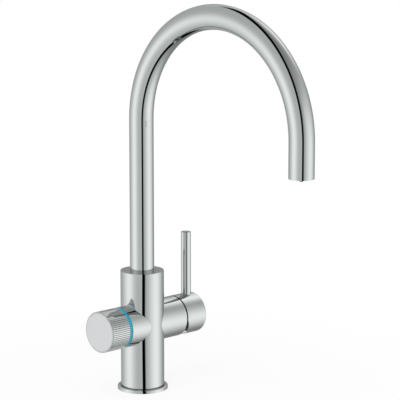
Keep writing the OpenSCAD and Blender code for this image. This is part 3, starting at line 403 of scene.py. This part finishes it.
def capPaintedShadeMask(tree):
    # 1 where shade is painted: on the cap's edge and on its inner wall, down to the stop and no deeper than
    #                           its end wall
    low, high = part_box("lever_cap")
    radius, middleZ = (high[2] - low[2]) / 2, (high[2] + low[2]) / 2
    place = addNode(tree, "ShaderNodeSeparateXYZ")
    tree.links.new(addNode(tree, "ShaderNodeTexCoord").outputs["Object"], place.inputs["Vector"])
    height = mathNode(tree, "SUBTRACT", place.outputs["Z"], middleZ)
    square = mathNode(tree, "MULTIPLY", height, height)
    square = mathNode(tree, "MULTIPLY_ADD", place.outputs["Y"], place.outputs["Y"], square)
    distance = mathNode(tree, "SQRT", square)
    inside = mathNode(tree, "LESS_THAN", distance, radius - capPaintedShade["rim"])
    # painted shadow line on the outside next to the cap's edge
    edge = mathNode(tree, "LESS_THAN", place.outputs["X"], low[0] + capPaintedShade["lip"])
    above = mathNode(tree, "GREATER_THAN", height, -capPaintedShade["stop"])
    before = mathNode(tree, "LESS_THAN", place.outputs["X"], low[0] + capPaintedShade["depth"])
    paintedShadeArea = mathNode(tree, "MULTIPLY", mathNode(tree, "MAXIMUM", inside, edge), before)
    return mathNode(tree, "MULTIPLY", paintedShadeArea, above)


# chrome with painted shade on the cap's edge and inner wall
nodes["lever_cap"].material_slots[0].material = maskedMaterial(
    "cap_chrome_painted_shade", lambda tree: metalSurface(tree, chromeFinish),
    lambda tree: plasticSurface(tree, capPaintedShade["colour"], capPaintedShade["roughness"]), capPaintedShadeMask)
makeKnobSleeve()
makeButtonSpring()
print("tap: knob sleeve, button spring and painted cap shade")


# Studio

cameraPlace = {
    "position": (-1.3515, -1.4597, 0.5603),
    "forward": (0.6898, 0.7016, -0.1791),
    "lens": 177.62,
    "sensor": 36.0,
    "clip": (0.1, 60.0),
}
roomLight = {
    "ambient": 0.72,          # plain light from all round
    "keyPower": 26.0,         # watts
    "keySize": 1.6,
    "keyPosition": (-1.3, -0.5, 2.4),
}
floorPaper = {
    "radii": (0.02, 0.5, 14.0),
    "steps": 128,
    "height": -0.0002,
    "colour": (0.88, 0.88, 0.88),
    "share": 0.12,            # share of the shaded paper in the white that the camera sees
    "fade": (0.10, 0.45),     # it fades out between these distances from the tap
}
# What the chrome sees: a grey tent, lighter to the left of the black strip than to the right, with
# soft lights in it. The strip runs over the top in an upright plane.
# Directions are degrees to the right of the camera and above the horizon.
tentLook = {
    "radius": 8.0,
    "gridSteps": (96, 49),       # round it and from foot to top
    "leftGrey": 0.655,
    "rightGrey": 0.276,
    "rightBackGrey": 0.43,
    "backFrom": (0.45, 0.90),    # how far a direction points away from the camera, as a cosine
    "tint": (0.985, 1.0, 0.998),
    "softLights": (              # azimuth, elevation, tightness, strength
        (-68.5, 0.5, 7.6, 0.64),
        (77.5, -16, 3.1, 1.18),
        (142, 42, 19.5, 1.16),
        (-92, -26, 6.3, 0.37),
        (46.5, 13.5, 26.0, 0.216),
        (28, -12, 14.0, 0.075),
        (172, 34, 30.0, 0.42),
        (145, -45, 6.0, -0.12),      # a dim patch
    ),
    "stripAzimuth": 7.0,
    "stripEdges": (-8.6, -5.8, 6.0, 11.2),    # fades to black and back, in degrees
    "stripEnd": (0.60, 0.78),    # where the strip ends behind the tap, as a cosine
}


def cameraAzimuth():
    # bearing from the tap to the camera, in radians from +X
    x, y, _ = cameraPlace["position"]
    return math.atan2(y, x)


def directionOf(azimuth, elevation):
    bearing, height = cameraAzimuth() + math.radians(azimuth), math.radians(elevation)
    return Vector((
        math.cos(height) * math.cos(bearing), math.cos(height) * math.sin(bearing), math.sin(height)))


def dotWith(tree, socket, direction):
    node = addNode(tree, "ShaderNodeVectorMath", operation="DOT_PRODUCT")
    tree.links.new(socket, node.inputs[0])
    node.inputs[1].default_value = direction
    return node.outputs["Value"]


def directRays(tree):
    # 1 for what the camera sees straight, in gloss or through something clear
    rays = addNode(tree, "ShaderNodeLightPath")
    direct = mathNode(tree, "ADD", rays.outputs["Is Camera Ray"], rays.outputs["Is Glossy Ray"])
    return mathNode(tree, "ADD", direct, rays.outputs["Is Transmission Ray"], clamp=True)


def tentMaterial():
    # light of a point = grey of its side + sum of strength * exp(tightness * (cosine - 1)),
    # times the black strip, which is a smooth step on the angle from the upright plane
    material, tree = newMaterial("tent_cloth")
    place = addNode(tree, "ShaderNodeTexCoord").outputs["Object"]
    unit = addNode(tree, "ShaderNodeVectorMath", operation="NORMALIZE")
    tree.links.new(place, unit.inputs[0])
    unit = unit.outputs["Vector"]
    across = dotWith(tree, unit, directionOf(tentLook["stripAzimuth"] + 90, 0))
    angle = mathNode(tree, "MULTIPLY", mathNode(tree, "ARCSINE", across), 180 / math.pi)
    side = mathNode(tree, "GREATER_THAN", angle, 0.0)
    away = dotWith(tree, unit, directionOf(tentLook["stripAzimuth"] + 180, 0))
    left, right, rightBack = tentLook["leftGrey"], tentLook["rightGrey"], tentLook["rightBackGrey"]
    behind = smoothStep(tree, away, *tentLook["backFrom"])
    rightStep = mathNode(tree, "MULTIPLY_ADD", behind, rightBack - right, right - left)
    total = mathNode(tree, "MULTIPLY_ADD", side, rightStep, left)
    for azimuth, elevation, tightness, strength in tentLook["softLights"]:
        cosine = dotWith(tree, unit, directionOf(azimuth, elevation))
        power = mathNode(tree, "MULTIPLY_ADD", cosine, tightness, -tightness)
        total = mathNode(tree, "MULTIPLY_ADD", mathNode(tree, "EXPONENT", power), strength, total)
    fadeIn, blackFrom, blackTo, fadeOut = tentLook["stripEdges"]
    leftOfIt = smoothStep(tree, angle, blackFrom, fadeIn)
    beside = mathNode(tree, "ADD", leftOfIt, smoothStep(tree, angle, blackTo, fadeOut))
    clear = mathNode(tree, "ADD", beside, smoothStep(tree, away, *tentLook["stripEnd"]), clamp=True)
    total = mathNode(tree, "MULTIPLY", total, clear)
    glow = addNode(tree, "ShaderNodeEmission", {"Color": (*tentLook["tint"], 1)})
    tree.links.new(total, glow.inputs["Strength"])
    showSurface(tree, glow.outputs["Emission"])
    material.cycles.emission_sampling = "NONE"
    return material


def makeTent():
    # a ball round the tap: longitude and latitude on a grid
    around, upward = tentLook["gridSteps"]
    longitude, latitude = np.meshgrid(
        np.linspace(0, 2 * np.pi, around, endpoint=False),
        np.linspace(-np.pi / 2, np.pi / 2, upward), indexing="ij")
    points = tentLook["radius"] * np.stack([
        np.cos(latitude) * np.cos(longitude), np.cos(latitude) * np.sin(longitude), np.sin(latitude)
    ], axis=-1).reshape(-1, 3)
    tent = newPiece("tent", points, gridFaces(around, upward, closedRows=True), tentMaterial())
    tent.visible_camera = tent.visible_diffuse = tent.visible_shadow = False
    tent.visible_transmission = tent.visible_volume_scatter = False


def makeFloor():
    # a ring under the flange: radius and angle on a grid
    look = floorPaper
    radii, count = look["radii"], look["steps"]
    angle = np.linspace(0, 2 * np.pi, count, endpoint=False)
    points = np.stack([
        np.outer(radii, np.cos(angle)), np.outer(radii, np.sin(angle)),
        np.full((len(radii), count), look["height"])
    ], axis=-1).reshape(-1, 3)
    material, tree = newMaterial("floor_paper")
    paper = addNode(tree, "ShaderNodeBsdfDiffuse", {"Color": (*look["colour"], 1)})
    white = addNode(tree, "ShaderNodeEmission", {"Strength": 1.0})
    clear = addNode(tree, "ShaderNodeBsdfTransparent")
    distance = addNode(tree, "ShaderNodeVectorMath", operation="LENGTH")
    tree.links.new(addNode(tree, "ShaderNodeTexCoord").outputs["Object"], distance.inputs[0])
    far = smoothStep(tree, distance.outputs["Value"], *look["fade"])
    paperShare = mathNode(tree, "MULTIPLY_ADD", far, -look["share"], look["share"])
    whiteShare = mathNode(tree, "MULTIPLY", directRays(tree), mathNode(tree, "SUBTRACT", 1.0, paperShare))
    seen = addNode(tree, "ShaderNodeMixShader")
    tree.links.new(whiteShare, seen.inputs["Fac"])
    tree.links.new(paper.outputs["BSDF"], seen.inputs[1])
    tree.links.new(white.outputs["Emission"], seen.inputs[2])
    below = addNode(tree, "ShaderNodeMixShader")
    tree.links.new(addNode(tree, "ShaderNodeNewGeometry").outputs["Backfacing"], below.inputs["Fac"])
    tree.links.new(seen.outputs["Shader"], below.inputs[1])
    tree.links.new(clear.outputs["BSDF"], below.inputs[2])
    showSurface(tree, below.outputs["Shader"])
    material.cycles.emission_sampling = "NONE"
    floor = newPiece("floor", points, gridFaces(len(radii), count, closedColumns=True), material)
    floor.visible_glossy = False


def makeWorld():
    # plain grey light for matt surfaces, white for the camera, for gloss and for clear things
    world = bpy.data.worlds.new("room")
    world.use_nodes = True
    tree = world.node_tree
    tree.nodes.clear()
    plain = addNode(tree, "ShaderNodeBackground", {"Color": (1, 1, 1, 1), "Strength": roomLight["ambient"]})
    white = addNode(tree, "ShaderNodeBackground", {"Color": (1, 1, 1, 1), "Strength": 1.0})
    mix = addNode(tree, "ShaderNodeMixShader")
    tree.links.new(directRays(tree), mix.inputs["Fac"])
    tree.links.new(plain.outputs["Background"], mix.inputs[1])
    tree.links.new(white.outputs["Background"], mix.inputs[2])
    output = addNode(tree, "ShaderNodeOutputWorld")
    tree.links.new(mix.outputs["Shader"], output.inputs["Surface"])
    bpy.context.scene.world = world


def makeKeyLight():
    lamp = bpy.data.lights.new("key_light", "AREA")
    lamp.energy = roomLight["keyPower"]
    lamp.size = roomLight["keySize"]
    key = bpy.data.objects.new("key_light", lamp)
    key.location = roomLight["keyPosition"]
    key.rotation_euler = (-Vector(key.location)).to_track_quat("-Z", "Y").to_euler()
    key.visible_glossy = False
    bpy.context.scene.collection.objects.link(key)


def makeCamera():
    camera = bpy.data.objects.new("camera", bpy.data.cameras.new("camera"))
    camera.location = cameraPlace["position"]
    camera.rotation_euler = Vector(cameraPlace["forward"]).to_track_quat("-Z", "Y").to_euler()
    camera.data.lens = cameraPlace["lens"]
    camera.data.sensor_width = cameraPlace["sensor"]
    camera.data.clip_start, camera.data.clip_end = cameraPlace["clip"]
    bpy.context.scene.collection.objects.link(camera)
    bpy.context.scene.camera = camera


makeTent()
makeFloor()
makeWorld()
makeKeyLight()
makeCamera()
bpy.context.scene.view_settings.view_transform = "Standard"
print("tap: studio ready")
